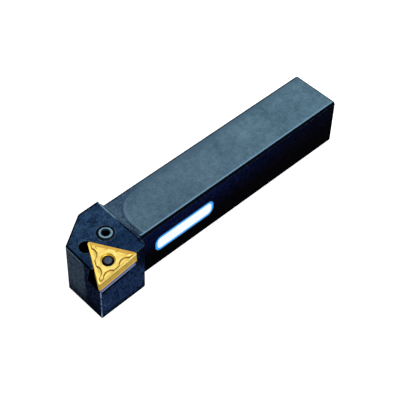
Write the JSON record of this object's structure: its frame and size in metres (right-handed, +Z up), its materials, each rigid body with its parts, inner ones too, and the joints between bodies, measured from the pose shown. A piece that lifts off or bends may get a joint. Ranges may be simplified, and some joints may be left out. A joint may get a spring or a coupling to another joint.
{
  "type": "turning tool holder",
  "caption": "Square-shank right-hand turning tool holder with an offset head, a triangular insert, its seat and a lever that clamps it.",
  "frame": {"origin": "the corner where the shank's base, its locating side and its rear end meet", "axes": "+X along the shank towards the cutting point, +Y from the locating side to the cutting side, +Z up from the base"},
  "size_m": [0.15, 0.032, 0.029],
  "materials": {
    "blackened_steel": "black oxide over milled and ground steel, satin",
    "gold_coating": "gold-coloured hard coating on sintered carbide",
    "bare_carbide": "ground bare carbide",
    "spring_steel": "blackened spring steel",
    "lever_steel": "hardened steel, dull",
    "screw_steel": "blued screw steel, slightly worn",
    "label_film": "white film with a blue border"
  },
  "bodies": {
    "holder": {"holder_body": "blackened_steel", "insert": "gold_coating", "shim": "bare_carbide", "shim_sleeve": "spring_steel", "side_label": "label_film"},
    "clamp_screw": {"clamp_screw": "screw_steel"},
    "lever": {"lever": "lever_steel"}
  },
  "joints": [
    {"name": "clamp_screw_turn", "type": "hinge", "parent": "holder", "child": "clamp_screw", "pos_m": [0.13175, 0.0147, 0.0176], "axis": [0, 0, 1], "range_deg": [0, 130]},
    {"name": "lever_rock", "type": "hinge", "parent": "holder", "child": "lever", "pos_m": [0.1391, 0.02545, 0.0111], "axis": [-0.8258, 0.5627, 0.0376], "range_deg": [0, 2.02]}
  ],
  "couplings": [
    {"joint": "lever_rock", "follows": "clamp_screw_turn", "ratio": 0.01545}
  ]
}
